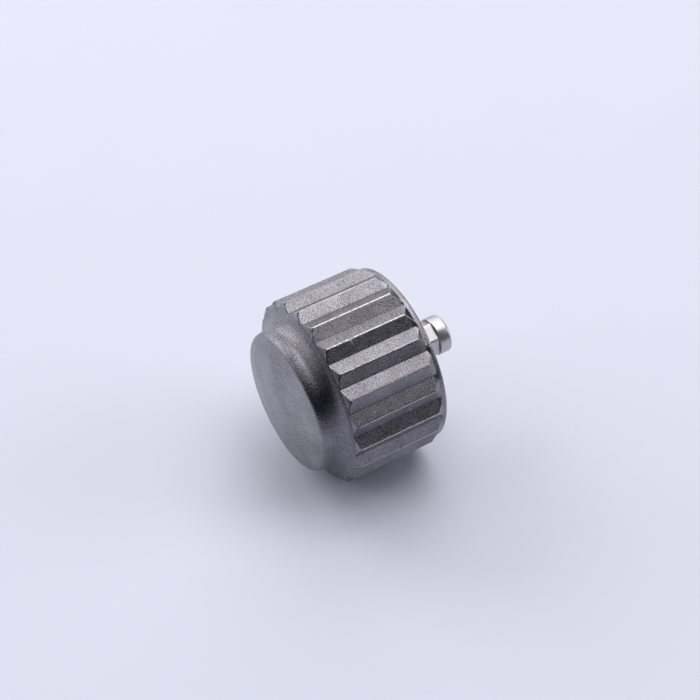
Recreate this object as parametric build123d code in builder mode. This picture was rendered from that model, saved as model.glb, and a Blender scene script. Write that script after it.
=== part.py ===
from build123d import *
from math import cos, pi, radians, sin
import os

# Watch crown of the sprung, screw-down kind: a fluted and domed head, a threaded
# sleeve and a barrel inside it, and a six-sided post that slides in the barrel
# against a spring and takes the winding stem.
# The axis is +Y. The post points along +Y and the domed face along -Y. The
# origin is on the axis, in the plane of the head's rear seat. +Z is up as the
# crown lies on its flutes, with a valley of the flutes straight down.
# All lengths are millimetres.

# Clearances and overruns
press_gap = 0.02
slide_clearance = 0.02
piston_clearance = 0.05
axial_gap = 0.01
rubber_gap = 0.03
cut_overrun = 0.5

# Head, outside
head_diameter = 7.0
flute_count = 22
flute_depth = 0.23
flute_tip_land = 0.05
band_length = 3.2
band_front_radius = 0.07
rear_shoulder_length = 0.25
rear_shoulder_height = 0.17
rear_ring_length = 0.2
rear_rim_radius = 0.06
front_shelf_drop = 0.19
front_shelf_length = 0.12
cove_radius = 0.62
face_flank_length = 0.3
face_flank_rise = 0.07
face_edge_radius = 0.3
dome_rise = 0.21

# Head, inside
sleeve_cover_wall = 0.42
mouth_chamfer = 0.08

# Thread for the case tube
sleeve_wall = 0.28
thread_depth = 0.17
thread_pitch = 0.35
thread_root_width = 0.06
thread_mouth_width = 0.27
sleeve_recess = 0.3
sleeve_length = 2.36
sleeve_chamfer = 0.1

# Gasket and washer at the floor of the cup
washer_thickness = 0.13
gasket_thickness = 0.37
gasket_edge_radius = 0.08

# Post
stem_thread_diameter = 0.9
stem_thread_depth = 2.1
stem_countersink = 0.08
post_wall = 0.15
collar_lip = 0.027
collar_length = 0.5
collar_end_radius = 0.12
collar_inner_radius = 0.05
post_travel = 1.15
collar_gap = 0.05
rivet_diameter = 0.84
rivet_projection = 0.06
rivet_flare = 0.08

# Piston, bush and clip
piston_length = 0.5
piston_edge = 0.06
stop_washer_thickness = 0.12
bush_wall = 0.264
bush_length = 0.67
bush_edge = 0.05
clip_thickness = 0.1
clip_seat_depth = 0.1
clip_width = 0.26
clip_opening = 50

# Barrel
barrel_wall = 0.22
barrel_reach = 0.25
barrel_floor = 0.3
barrel_edge = 0.05
spigot_wall = 0.3

# Seals on the barrel
o_ring_section = 0.5
spacer_length = 0.28
retainer_wall = 0.36
retainer_length = 0.93
retainer_recess = 0.03
retainer_lead = 0.12
flange_clearance = 0.06

# Spring
wire_diameter = 0.18
spring_turns = 4.5
spring_side_gap = 0.13
spring_spare = 0.19
spring_washer_thickness = 0.12
spring_washer_width = 0.45

# Radii, from the post outwards
stem_bore_radius = stem_thread_diameter / 2
hex_flat_radius = stem_bore_radius + post_wall
hex_corner_radius = hex_flat_radius / cos(radians(30))
collar_radius = hex_corner_radius + collar_lip
hex_hole_flat_radius = hex_flat_radius + slide_clearance
hex_hole_corner_radius = hex_hole_flat_radius / cos(radians(30))
bush_radius = hex_hole_corner_radius + bush_wall
chamber_radius = bush_radius + press_gap
piston_radius = chamber_radius - piston_clearance
barrel_radius = chamber_radius + barrel_wall
seal_inner_radius = barrel_radius + press_gap
guide_radius = seal_inner_radius + retainer_wall
spigot_radius = chamber_radius + spigot_wall
spring_mean_radius = chamber_radius - spring_side_gap - wire_diameter / 2

# Radii, from the head's outside inwards
tip_radius = head_diameter / 2
valley_radius = tip_radius - flute_depth
cup_radius = valley_radius - sleeve_cover_wall
sleeve_radius = cup_radius - press_gap
thread_major_radius = sleeve_radius - sleeve_wall
thread_minor_radius = thread_major_radius - thread_depth
rim_radius = tip_radius - rear_shoulder_height
cove_outer_radius = tip_radius - front_shelf_drop
flank_outer_radius = cove_outer_radius - cove_radius
dome_radius = flank_outer_radius - face_flank_rise

# Places along the axis, from the rear seat
shoulder_rear = -rear_ring_length
band_rear = shoulder_rear - rear_shoulder_length
band_front = band_rear - band_length
cove_rear = band_front - front_shelf_length
cove_front = cove_rear - cove_radius
dome_edge = cove_front - face_flank_length
dome_top = dome_edge - dome_rise
sleeve_rear = -sleeve_recess
sleeve_front = sleeve_rear - sleeve_length
washer_rear = sleeve_front - axial_gap
washer_front = washer_rear - washer_thickness
gasket_rear = washer_front
cup_floor = gasket_rear - gasket_thickness
barrel_rear = barrel_reach
clip_seat_rear = barrel_rear - barrel_edge - axial_gap
clip_seat_front = clip_seat_rear - clip_thickness - 2 * axial_gap
bush_rear = clip_seat_front
bush_front = bush_rear - bush_length
stop_rear = bush_front
stop_front = stop_rear - stop_washer_thickness
piston_rear = stop_front - axial_gap
piston_front = piston_rear - piston_length
post_inner_end = piston_front - rivet_projection
spring_rest_length = spring_turns * wire_diameter + post_travel + spring_spare
spring_rear = piston_front - axial_gap
spring_front = spring_rear - spring_rest_length
spring_washer_rear = spring_front - axial_gap
chamber_floor = spring_washer_rear - spring_washer_thickness
spigot_front = chamber_floor - barrel_floor
socket_floor = spigot_front - press_gap
collar_front = barrel_rear + post_travel + collar_gap
post_end = collar_front + collar_length
retainer_rear = barrel_rear - retainer_recess
seal_stack = 2 * o_ring_section + spacer_length + 4 * rubber_gap
groove_rear = retainer_rear - retainer_length
groove_front = groove_rear - seal_stack


def across(y):
    """Returns the plane square to the axis at y, with its X along +X and its normal along +Y."""
    return Plane(origin=(0, y, 0), x_dir=(1, 0, 0), z_dir=(0, 1, 0))


def ring(inner_radius, outer_radius, front, rear):
    """Sketches the section of a plain ring between front and rear, to be turned about the axis."""
    with Locations(((inner_radius + outer_radius) / 2, (front + rear) / 2)):
        Rectangle(outer_radius - inner_radius, rear - front)


def save(piece, name):
    """Labels a finished piece and writes it to its own file."""
    piece.part.label = name
    export_step(piece.part, "parts/" + name + ".step")


os.makedirs("parts", exist_ok=True)

# The head: the face, cove, band, shoulder and rear ring are turned, then the flutes
# are cut from the front, up to the ring
with BuildPart() as crown_head:
    with BuildSketch(Plane.XY) as head_section:
        with BuildLine():
            TangentArc((0, dome_top), (dome_radius, dome_edge), tangent=(1, 0))
            Line((dome_radius, dome_edge), (flank_outer_radius, cove_front))
            TangentArc((flank_outer_radius, cove_front), (cove_outer_radius, cove_rear), tangent=(0, 1))
            Line((cove_outer_radius, cove_rear), (tip_radius, band_front))
            Line((tip_radius, band_front), (tip_radius, band_rear))
            Line((tip_radius, band_rear), (rim_radius, shoulder_rear))
            Line((rim_radius, shoulder_rear), (rim_radius, 0))
            Line((rim_radius, 0), (0, 0))
            Line((0, 0), (0, dome_top))
        make_face()
        rounded_corners = (
            ((dome_radius, dome_edge), face_edge_radius),
            ((tip_radius, band_front), band_front_radius),
            ((rim_radius, 0), rear_rim_radius),
        )
        for corner, radius in rounded_corners:
            fillet(head_section.vertices().sort_by_distance(corner)[0], radius)
    revolve(axis=Axis.Y)
    with BuildSketch(Plane.XY):
        ring(0, cup_radius, cup_floor, cut_overrun)
        ring(0, spigot_radius + press_gap, socket_floor, cup_floor)
        with BuildLine():
            Polyline(
                (cup_radius, -mouth_chamfer),
                (cup_radius + mouth_chamfer, 0),
                (cup_radius, 0),
                close=True,
            )
        make_face()
    revolve(axis=Axis.Y, mode=Mode.SUBTRACT)
    tip_half_angle = pi / flute_count - flute_tip_land / head_diameter
    flute_reach = flute_depth + cut_overrun
    flute_slope = tip_radius * sin(tip_half_angle) / (tip_radius * cos(tip_half_angle) - valley_radius)
    flute_half_width = flute_slope * flute_reach
    with BuildSketch(across(dome_top)):
        with PolarLocations(valley_radius, flute_count, start_angle=90):
            Polygon(
                (0, 0),
                (flute_reach, -flute_half_width),
                (flute_reach, flute_half_width),
                align=None,
            )
    extrude(amount=shoulder_rear - dome_top, mode=Mode.SUBTRACT)
save(crown_head, "crown_head")

# The sleeve whose inside thread screws on the case tube
with BuildPart() as thread_sleeve:
    with BuildSketch(Plane.XY) as sleeve_section:
        ring(thread_minor_radius, sleeve_radius, sleeve_front, sleeve_rear)
        chamfer(sleeve_section.vertices().group_by(Axis.X)[0], sleeve_chamfer)
    revolve(axis=Axis.Y)
    with BuildLine() as thread_path:
        Helix(
            pitch=thread_pitch,
            height=sleeve_length + 2 * thread_pitch,
            radius=thread_minor_radius,
            center=(0, sleeve_front - thread_pitch, 0),
            direction=(0, 1, 0),
        )
    thread_start = thread_path.line @ 0
    radial = Vector(thread_start.X, 0, thread_start.Z)
    with BuildSketch(Plane(origin=thread_start, x_dir=radial, z_dir=thread_path.line % 0)):
        with BuildLine():
            Polyline(
                (-thread_depth / 2, -thread_mouth_width / 2),
                (0, -thread_mouth_width / 2),
                (thread_depth, -thread_root_width / 2),
                (thread_depth, thread_root_width / 2),
                (0, thread_mouth_width / 2),
                (-thread_depth / 2, thread_mouth_width / 2),
                close=True,
            )
        make_face()
    sweep(path=thread_path.line, is_frenet=True, mode=Mode.SUBTRACT)
save(thread_sleeve, "thread_sleeve")

# The flat gasket on the floor of the cup, and the washer that the case tube presses on it
gasket_inner_radius = guide_radius + flange_clearance
with BuildPart() as seat_gasket:
    with BuildSketch(Plane.XY) as gasket_section:
        ring(gasket_inner_radius, cup_radius - rubber_gap, cup_floor, gasket_rear)
        fillet(gasket_section.vertices(), gasket_edge_radius)
    revolve(axis=Axis.Y)
save(seat_gasket, "seat_gasket")

with BuildPart() as gasket_pressure_washer:
    with BuildSketch(Plane.XY):
        ring(gasket_inner_radius, sleeve_radius, washer_front, washer_rear)
    revolve(axis=Axis.Y)
save(gasket_pressure_washer, "gasket_pressure_washer")

# The barrel: a spigot in the head's socket, a flange on the cup's floor, a seat
# for the O-rings, and inside it the spring's chamber with the clip's groove
with BuildPart() as centre_barrel:
    with BuildSketch(Plane.XY):
        ring(0, spigot_radius, spigot_front, cup_floor)
        ring(0, guide_radius, cup_floor, groove_front)
        ring(0, barrel_radius, groove_front, barrel_rear)
    revolve(axis=Axis.Y)
    with BuildSketch(Plane.XY):
        ring(0, chamber_radius, chamber_floor, barrel_rear + cut_overrun)
        ring(0, chamber_radius + clip_seat_depth, clip_seat_front, clip_seat_rear)
    revolve(axis=Axis.Y, mode=Mode.SUBTRACT)
    rear_rims = centre_barrel.edges().filter_by(GeomType.CIRCLE).group_by(Axis.Y)[-1]
    chamfer(rear_rims.sort_by(SortBy.RADIUS)[-1], barrel_edge)
save(centre_barrel, "centre_barrel")

# The O-rings, the rigid ring between them and the ring that holds them
outer_o_ring_centre = groove_rear - rubber_gap - o_ring_section / 2
inner_o_ring_centre = groove_front + rubber_gap + o_ring_section / 2
spacer_rear = outer_o_ring_centre - o_ring_section / 2 - rubber_gap
spacer_front = spacer_rear - spacer_length
o_ring_radius = seal_inner_radius + o_ring_section / 2

with BuildPart() as inner_o_ring:
    with BuildSketch(Plane.XY):
        with Locations((o_ring_radius, inner_o_ring_centre)):
            Circle(o_ring_section / 2)
    revolve(axis=Axis.Y)
save(inner_o_ring, "inner_o_ring")

with BuildPart() as outer_o_ring:
    with BuildSketch(Plane.XY):
        with Locations((o_ring_radius, outer_o_ring_centre)):
            Circle(o_ring_section / 2)
    revolve(axis=Axis.Y)
save(outer_o_ring, "outer_o_ring")

with BuildPart() as o_ring_spacer:
    with BuildSketch(Plane.XY):
        ring(seal_inner_radius, guide_radius, spacer_front, spacer_rear)
    revolve(axis=Axis.Y)
save(o_ring_spacer, "o_ring_spacer")

with BuildPart() as o_ring_retainer:
    with BuildSketch(Plane.XY) as retainer_section:
        ring(seal_inner_radius, guide_radius, groove_rear, retainer_rear)
        lead_corner = retainer_section.vertices().sort_by_distance((guide_radius, retainer_rear))[0]
        chamfer(lead_corner, retainer_lead)
    revolve(axis=Axis.Y)
save(o_ring_retainer, "o_ring_retainer")

# The bush with the six-sided hole, and the open clip that holds it in the barrel
with BuildPart() as hex_guide_bush:
    with BuildSketch(across(bush_front)):
        Circle(bush_radius)
        RegularPolygon(hex_hole_corner_radius, 6, rotation=30, mode=Mode.SUBTRACT)
    extrude(amount=bush_length)
    bush_rims = hex_guide_bush.edges().filter_by(GeomType.CIRCLE)
    chamfer(bush_rims, bush_edge)
save(hex_guide_bush, "hex_guide_bush")

with BuildPart() as bush_retaining_clip:
    clip_outer_radius = chamber_radius + clip_seat_depth - press_gap
    clip_front = clip_seat_front + axial_gap
    with BuildSketch(Plane.XY.rotated((0, -clip_opening / 2, 0))):
        ring(clip_outer_radius - clip_width, clip_outer_radius, clip_front, clip_front + clip_thickness)
    revolve(axis=Axis.Y, revolution_arc=360 - clip_opening)
save(bush_retaining_clip, "bush_retaining_clip")

# The post: the six-sided neck, the round end collar with the tapped hole, and
# the rivet that fixes the piston
with BuildPart() as stem_post:
    with BuildSketch(across(piston_rear)):
        RegularPolygon(hex_corner_radius, 6, rotation=30)
    extrude(amount=collar_front - piston_rear)
    with BuildSketch(Plane.XY) as collar_section:
        ring(0, collar_radius, collar_front, post_end)
        end_corner = collar_section.vertices().sort_by_distance((collar_radius, post_end))[0]
        fillet(end_corner, collar_end_radius)
        inner_corner = collar_section.vertices().sort_by_distance((collar_radius, collar_front))[0]
        fillet(inner_corner, collar_inner_radius)
        ring(0, rivet_diameter / 2, piston_front, piston_rear)
        ring(0, rivet_diameter / 2 + rivet_flare, post_inner_end, piston_front)
    revolve(axis=Axis.Y)
    with Locations(across(post_end)):
        CounterSinkHole(
            radius=stem_bore_radius,
            counter_sink_radius=stem_bore_radius + stem_countersink,
            depth=stem_thread_depth,
            counter_sink_angle=90,
        )
save(stem_post, "stem_post")

with BuildPart() as post_piston:
    with BuildSketch(Plane.XY) as piston_section:
        ring(rivet_diameter / 2 + press_gap, piston_radius, piston_front, piston_rear)
        chamfer(piston_section.vertices().group_by(Axis.X)[-1], piston_edge)
    revolve(axis=Axis.Y)
save(post_piston, "post_piston")

with BuildPart() as stop_washer:
    with BuildSketch(Plane.XY):
        ring(hex_hole_corner_radius + slide_clearance, bush_radius, stop_front, stop_rear)
    revolve(axis=Axis.Y)
save(stop_washer, "stop_washer")

# The spring with flat ground ends, and the washer under its fixed end
with BuildPart() as return_spring:
    with BuildLine() as spring_path:
        Helix(
            pitch=spring_rest_length / spring_turns,
            height=spring_rest_length,
            radius=spring_mean_radius,
            center=(0, spring_front, 0),
            direction=(0, 1, 0),
        )
    with BuildSketch(Plane(origin=spring_path.line @ 0, z_dir=spring_path.line % 0)):
        Circle(wire_diameter / 2)
    sweep(path=spring_path.line, is_frenet=True)
    with BuildSketch(across(spring_front)):
        Circle(chamber_radius)
    extrude(amount=spring_rest_length, mode=Mode.INTERSECT)
save(return_spring, "return_spring")

with BuildPart() as spring_seat_washer:
    with BuildSketch(Plane.XY):
        ring(bush_radius - spring_washer_width, bush_radius, chamber_floor, spring_washer_rear)
    revolve(axis=Axis.Y)
save(spring_seat_washer, "spring_seat_washer")
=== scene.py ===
"""Looks of the sprung, screw-down watch crown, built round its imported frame.

The frame gives the pieces at their real size, in metres. The axis is +Y, the
post points along +Y, the domed face along -Y, and +Z is up as the crown lies on
its flutes. Sizes in the classes below are millimetres, as a maker gives them.
"""

import logging
import math
from collections.abc import Mapping, Sequence
from dataclasses import dataclass, field
from enum import Enum

import bpy
import numpy as np
from mathutils import Matrix, Vector

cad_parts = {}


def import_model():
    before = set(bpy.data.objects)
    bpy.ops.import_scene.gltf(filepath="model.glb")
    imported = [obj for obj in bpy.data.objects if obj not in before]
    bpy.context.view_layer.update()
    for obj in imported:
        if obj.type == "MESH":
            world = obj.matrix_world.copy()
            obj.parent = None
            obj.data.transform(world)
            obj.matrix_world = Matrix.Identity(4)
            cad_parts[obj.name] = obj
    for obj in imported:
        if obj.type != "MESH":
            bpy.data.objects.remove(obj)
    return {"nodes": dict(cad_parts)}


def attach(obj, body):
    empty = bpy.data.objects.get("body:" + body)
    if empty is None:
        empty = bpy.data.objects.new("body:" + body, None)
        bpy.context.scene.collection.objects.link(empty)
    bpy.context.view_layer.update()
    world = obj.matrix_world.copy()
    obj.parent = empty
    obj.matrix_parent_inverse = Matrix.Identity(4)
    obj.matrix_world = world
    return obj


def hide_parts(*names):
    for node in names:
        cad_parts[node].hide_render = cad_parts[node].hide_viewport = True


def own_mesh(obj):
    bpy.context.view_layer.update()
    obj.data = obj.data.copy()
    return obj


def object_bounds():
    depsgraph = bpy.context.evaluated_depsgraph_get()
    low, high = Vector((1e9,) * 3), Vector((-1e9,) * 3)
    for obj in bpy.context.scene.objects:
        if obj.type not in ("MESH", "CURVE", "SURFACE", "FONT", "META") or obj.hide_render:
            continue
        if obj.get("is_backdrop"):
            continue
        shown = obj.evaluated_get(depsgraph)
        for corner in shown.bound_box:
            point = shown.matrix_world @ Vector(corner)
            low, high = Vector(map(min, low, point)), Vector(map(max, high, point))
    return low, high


log = logging.getLogger("crown")

MM = 0.001

# The Mix node's colour sockets, whose names its other kinds share.
MIX_FIRST, MIX_SECOND, MIX_RESULT = 6, 7, 2

# The middle of a noise, and of a tone between dark and light.
MIDDLE = 0.5
# How much of an edge a rounding at its end may take.
ROUNDING_SHARE = 0.45
# How strongly large faces set the shading of the roundings beside them.
FLATS_WEIGHT = 80
# How many steps a turned ring has.
RING_SEGMENTS = 128
TINY = 1e-6

Point = tuple[float, float]
Pair = tuple[float, float]
Colour = tuple[float, float, float]


# Shader expressions


class Value:
    """A socket of a material's node tree that takes part in plain arithmetic."""

    def __init__(self, graph: "Graph", socket: bpy.types.NodeSocket) -> None:
        """Keeps the graph that adds nodes and the socket that carries the value.

        Args:
            graph: the material's graph.
            socket: the output socket this value comes from.
        """
        self.graph = graph
        self.socket = socket

    def __add__(self, other: "Value | float") -> "Value":
        """Adds a value or number."""
        return self.graph.math("ADD", self, other)

    def __radd__(self, other: float) -> "Value":
        """Adds this value to a number."""
        return self.graph.math("ADD", other, self)

    def __sub__(self, other: "Value | float") -> "Value":
        """Takes a value or number away."""
        return self.graph.math("SUBTRACT", self, other)

    def __rsub__(self, other: float) -> "Value":
        """Takes this value away from a number."""
        return self.graph.math("SUBTRACT", other, self)

    def __mul__(self, other: "Value | float") -> "Value":
        """Multiplies by a value or number."""
        return self.graph.math("MULTIPLY", self, other)

    def __rmul__(self, other: float) -> "Value":
        """Multiplies a number by this value."""
        return self.graph.math("MULTIPLY", other, self)

    def __truediv__(self, other: "Value | float") -> "Value":
        """Divides by a value or number."""
        return self.graph.math("DIVIDE", self, other)

    def __rtruediv__(self, other: float) -> "Value":
        """Divides a number by this value."""
        return self.graph.math("DIVIDE", other, self)

    def swing(self) -> "Value":
        """Returns how far a noise stands off its middle."""
        return self - MIDDLE

    def clamped(self) -> "Value":
        """Returns the value held between 0 and 1."""
        return self.graph.node("ShaderNodeClamp", {}, {"Value": self})

    def ramp(self, low: float, high: float) -> "Value":
        """Turns low to high into a smooth 0 to 1.

        Args:
            low: the value that gives 0.
            high: the value that gives 1; it may lie below low.

        Returns:
            The smooth step.
        """
        settings = {"interpolation_type": "SMOOTHSTEP"}
        inputs = {"Value": self, "From Min": low, "From Max": high}
        return self.graph.node("ShaderNodeMapRange", settings, inputs)


class Graph:
    """Builds the node tree of one material."""

    def __init__(self, name: str) -> None:
        """Makes an empty material.

        Args:
            name: the material's name.
        """
        self.material = bpy.data.materials.new(name)
        self.material.use_nodes = True
        self.tree = self.material.node_tree
        self.tree.nodes.clear()

    def add(
        self, kind: str, settings: Mapping[str, object], inputs: Mapping[str | int, object]
    ) -> bpy.types.Node:
        """Adds a node, sets it up, then fills its sockets.

        Args:
            kind: the node's type.
            settings: its own settings, which are set first.
            inputs: a number, colour, vector or Value for each socket.

        Returns:
            The node.
        """
        made = self.tree.nodes.new(kind)
        for key, setting in settings.items():
            setattr(made, key, setting)
        for key, given in inputs.items():
            if isinstance(given, Value):
                self.tree.links.new(given.socket, made.inputs[key])
            else:
                made.inputs[key].default_value = given
        return made

    def node(
        self,
        kind: str,
        settings: Mapping[str, object],
        inputs: Mapping[str | int, object],
        output: str | int = 0,
    ) -> Value:
        """Adds a node whose output goes on into an expression.

        Args:
            kind: the node's type.
            settings: its own settings.
            inputs: a number, colour, vector or Value for each socket.
            output: the output socket to hand back.

        Returns:
            The chosen output.
        """
        return Value(self, self.add(kind, settings, inputs).outputs[output])

    def math(self, operation: str, *values: "Value | float") -> Value:
        """Adds a Math node.

        Args:
            operation: the Math node's operation.
            values: what goes into its sockets, in order.

        Returns:
            The result.
        """
        return self.node("ShaderNodeMath", {"operation": operation}, dict(enumerate(values)))

    def place(self) -> Value:
        """Returns the point on the piece, in the piece's own space."""
        return self.node("ShaderNodeTexCoord", {}, {}, "Object")

    def axis_part(self, axis: str) -> Value:
        """Returns one coordinate of the point on the piece, in metres."""
        return self.node("ShaderNodeSeparateXYZ", {}, {0: self.place()}, axis)

    def stretched(self, scale: tuple[float, float, float]) -> Value:
        """Returns the point on the piece with each axis scaled."""
        settings = {"operation": "MULTIPLY"}
        return self.node("ShaderNodeVectorMath", settings, {0: self.place(), 1: scale})

    def noise(
        self, size: float, detail: float = 2.0, rough: float = 0.5, place: Value | None = None
    ) -> Value:
        """Adds a noise whose grains have a real size.

        Args:
            size: the size of a grain in millimetres.
            detail: how many finer layers are added.
            rough: how strong the finer layers are.
            place: the point the noise is read at, or the plain place.

        Returns:
            The noise, which swings about its middle.
        """
        inputs = {
            "Vector": place or self.place(),
            "Scale": 1 / (size * MM),
            "Detail": detail,
            "Roughness": rough,
        }
        return self.node("ShaderNodeTexNoise", {}, inputs)

    def blend(self, factor: Value, first: object, second: object) -> Value:
        """Mixes two colours.

        Args:
            factor: 0 gives the first colour and 1 the second.
            first: a colour or Value.
            second: a colour or Value.

        Returns:
            The mixed colour.
        """
        settings = {"data_type": "RGBA", "clamp_factor": True}
        sides = [(*x, 1.0) if isinstance(x, tuple) else x for x in (first, second)]
        inputs = {0: factor, MIX_FIRST: sides[0], MIX_SECOND: sides[1]}
        return self.node("ShaderNodeMix", settings, inputs, MIX_RESULT)

    def mark(self, name: str) -> Value:
        """Returns a named value that the mesh stores at its points."""
        return self.node("ShaderNodeAttribute", {"attribute_name": name}, {}, "Fac")

    def bump(self, height: Value, depth: float, strength: float, under: Value | None = None) -> Value:
        """Adds a bump.

        Args:
            height: the height, 0 to 1.
            depth: the real depth of the relief in millimetres.
            strength: how much of it is used.
            under: a bump this one lies on.

        Returns:
            The normal.
        """
        inputs: dict[str | int, object] = {
            "Height": height,
            "Distance": depth * MM,
            "Strength": strength,
        }
        if under is not None:
            inputs["Normal"] = under
        return self.node("ShaderNodeBump", {}, inputs, "Normal")

    def finish(self, inputs: Mapping[str | int, object]) -> bpy.types.Material:
        """Closes the material with one principled shader.

        Args:
            inputs: the shader's sockets.

        Returns:
            The material.
        """
        shader = self.node("ShaderNodeBsdfPrincipled", {}, inputs, "BSDF")
        self.add("ShaderNodeOutputMaterial", {}, {"Surface": shader})
        return self.material


# Finishes


@dataclass(frozen=True)
class Blemish:
    """A small bright scratch or burr on the head.

    Attributes:
        angle: its angle from +Z towards +X, in degrees.
        y: its place along the axis, in millimetres.
        around: half its length round the axis.
        along: half its length along the axis.
    """

    angle: float
    y: float
    around: float
    along: float


@dataclass(frozen=True)
class BlastedSteel:
    """Steel blasted with fine beads, smoother at both ends and worn bright on its tips, with painted shade
    in its cove, its valleys and at the flutes' front ends.

    Attributes:
        name: the material's name.
        light: the bright side of the grain on the grip band.
        dark: the dark side of the grain.
        face_light: the bright side of the grain on the face.
        bright: the bare metal of wear and scuffs.
        painted_shade_colour: the colour of the painted shade in the valleys and at the flutes' front ends.
        grain: the size of the grain, in millimetres.
        fine_grain: the size of the finer relief, as a share of the grain's.
        cloud: the size of the slow changes of tone.
        crumbs: the size of the gaps in worn lines and scuffs.
        crumb_range: the noise that begins and ends those gaps.
        contrast: how strongly the grain shows on the band.
        cove_calm: how much weaker it shows on the cove and the face.
        rear_calm: how much weaker it shows on the rear shoulder.
        cloudiness: how strongly the slow changes show.
        cove_painted_shade: how much darker the cove is painted, a painted shade in its recess.
        rear_glow: how much lighter the rear shoulder is.
        cove_rear: where the smooth cove ends along the axis.
        cove_fade: how far the grain takes to calm down there.
        face_edge: where the face's colour begins.
        face_fade: how far it takes to set in.
        shoulder: where the rear shoulder's finish has set in.
        shoulder_fade: how far it takes to set in.
        roughness: the mean roughness.
        grain_rough: how much the grain changes it.
        cove_polish: how much the smooth cove takes off it.
        worn_polish: how much wear takes off it.
        scuff_rough: how much a scuff adds to it.
        scuff_dulling: how much of its metal look a scuff loses.
        relief: the depth of the grain in millimetres, and how much of it is used.
        fine_relief: the same for the finer relief.
        rear_flat: how much of the grain's depth the rear shoulder loses.
        tip_line: half the width of the worn line along a tip.
        tip_core: half the width of its brightest part.
        worn_least: the wear left where the line is broken up.
        scuff_least: the strength left where a scuff is broken up.
        scuff_range: where a scuff begins and is full, in its own half lengths squared.
        band_radius: the mean radius of the grip band.
        band_start: how far the marks on the band take to set in at its front.
        flank: the distance from a tip to its valley.
        root_line: how far the painted shade reaches up from a valley.
        root_stop: how far the valley's line takes to end past the middle.
        root_shade: how dark that painted shade line is.
        end_line: how far the painted shade reaches back from the flutes' front ends.
        end_fade: how far it takes to fade.
        end_extra: how much further it reaches near a tip.
        extra_range: the distances from a tip at which that begins and is full.
        tip_clear: the distance from a tip at which the painted shade is full.
        shade_least: the painted shade where the slow changes are darkest.
        shade_change: how much they change it.
        blemishes: the scratches and burrs.
    """

    name: str = "blasted_steel"
    light: Colour = (0.35, 0.337, 0.358)
    dark: Colour = (0.115, 0.11, 0.13)
    face_light: Colour = (0.43, 0.415, 0.415)
    bright: Colour = (0.56, 0.54, 0.545)
    # Near-black colour of the painted shade in the valleys and at the flutes' front ends.
    painted_shade_colour: Colour = (0.03, 0.028, 0.034)
    grain: float = 0.038
    fine_grain: float = 0.4
    cloud: float = 0.9
    crumbs: float = 0.16
    crumb_range: Pair = (0.34, 0.58)
    contrast: float = 4.2
    cove_calm: float = 1.6
    rear_calm: float = 2.6
    cloudiness: float = 0.8
    cove_painted_shade: float = 0.1
    rear_glow: float = 0.08
    cove_rear: float = -3.80
    cove_fade: float = 0.12
    face_edge: float = -4.62
    face_fade: float = 0.1
    shoulder: float = -0.32
    shoulder_fade: float = 0.1
    roughness: float = 0.28
    grain_rough: float = 0.25
    cove_polish: float = 0.02
    worn_polish: float = 0.06
    scuff_rough: float = 0.2
    scuff_dulling: float = 0.65
    relief: Pair = (0.014, 0.8)
    fine_relief: Pair = (0.005, 0.6)
    rear_flat: float = 0.6
    tip_line: float = 0.038
    tip_core: float = 0.012
    worn_least: float = 0.3
    scuff_least: float = 0.5
    scuff_range: Pair = (1.3, 0.5)
    band_radius: float = 3.45
    band_start: float = 0.02
    flank: float = 0.5
    root_line: float = 0.035
    root_stop: float = 0.02
    root_shade: float = 0.7
    end_line: float = 0.035
    end_fade: float = 0.03
    end_extra: float = 0.05
    extra_range: Pair = (0.16, 0.05)
    tip_clear: float = 0.04
    shade_least: float = 0.6
    shade_change: float = 0.6
    blemishes: tuple[Blemish, ...] = (
        Blemish(26.3, -2.67, 0.12, 0.022),
        Blemish(24.6, -2.60, 0.03, 0.11),
        Blemish(11.6, -3.74, 0.022, 0.10),
        Blemish(79.0, -1.50, 0.05, 0.035),
    )

    def build(self) -> bpy.types.Material:
        """Mixes the finish.

        Returns:
            The material.
        """
        graph = Graph(self.name)
        y = graph.axis_part("Y") / MM
        smooth = y.ramp(self.cove_rear, self.cove_rear - self.cove_fade)
        face = y.ramp(self.face_edge, self.face_edge - self.face_fade)
        rear = y.ramp(self.shoulder - self.shoulder_fade, self.shoulder)
        speckle = graph.noise(self.grain, detail=3.0, rough=0.65)
        cloud = graph.noise(self.cloud, detail=2.0)
        broken = graph.noise(self.crumbs, detail=3.0, rough=0.7).ramp(*self.crumb_range)
        contrast = self.contrast - smooth * self.cove_calm - rear * self.rear_calm
        tone = speckle.swing() * contrast + cloud.swing() * self.cloudiness + MIDDLE
        # The cove is painted darker, a painted shade in the recess; the rear shoulder is made lighter.
        tone = tone - smooth * (1 - face) * self.cove_painted_shade + rear * self.rear_glow
        body = graph.blend(tone.clamped(), self.dark, graph.blend(face, self.light, self.face_light))
        worn = self.worn(graph, broken)
        scuffed = self.scuffed(graph, broken)
        rubbed = graph.blend((worn + scuffed).clamped(), body, self.bright)
        roughness = self.roughness + speckle.swing() * self.grain_rough - smooth * self.cove_polish
        roughness = roughness - worn * self.worn_polish + scuffed * self.scuff_rough
        relief = graph.bump(speckle * (1 - rear * self.rear_flat), *self.relief)
        fine = graph.noise(self.grain * self.fine_grain, detail=1.0)
        return graph.finish(
            {
                # Painted shade: the valleys and the front ends of the lower flanks are darkened towards a
                # near-black colour.
                "Base Color": graph.blend(self.painted_flute_shade(graph, cloud), rubbed, self.painted_shade_colour),
                "Metallic": 1 - scuffed * self.scuff_dulling,
                "Roughness": roughness.clamped(),
                "Normal": graph.bump(fine, *self.fine_relief, relief),
            }
        )

    def worn(self, graph: Graph, broken: Value) -> Value:
        """Marks where the steel is rubbed bright along the tips.

        Args:
            graph: the material's graph.
            broken: a noise that breaks the lines up.

        Returns:
            The wear, 0 to 1.
        """
        on_band = graph.mark("front_gap").ramp(-self.band_start, self.band_start)
        on_tip = graph.mark("tip_gap").ramp(self.tip_line, self.tip_core)
        return on_tip * on_band * (self.worn_least + broken * (1 - self.worn_least))

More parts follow.
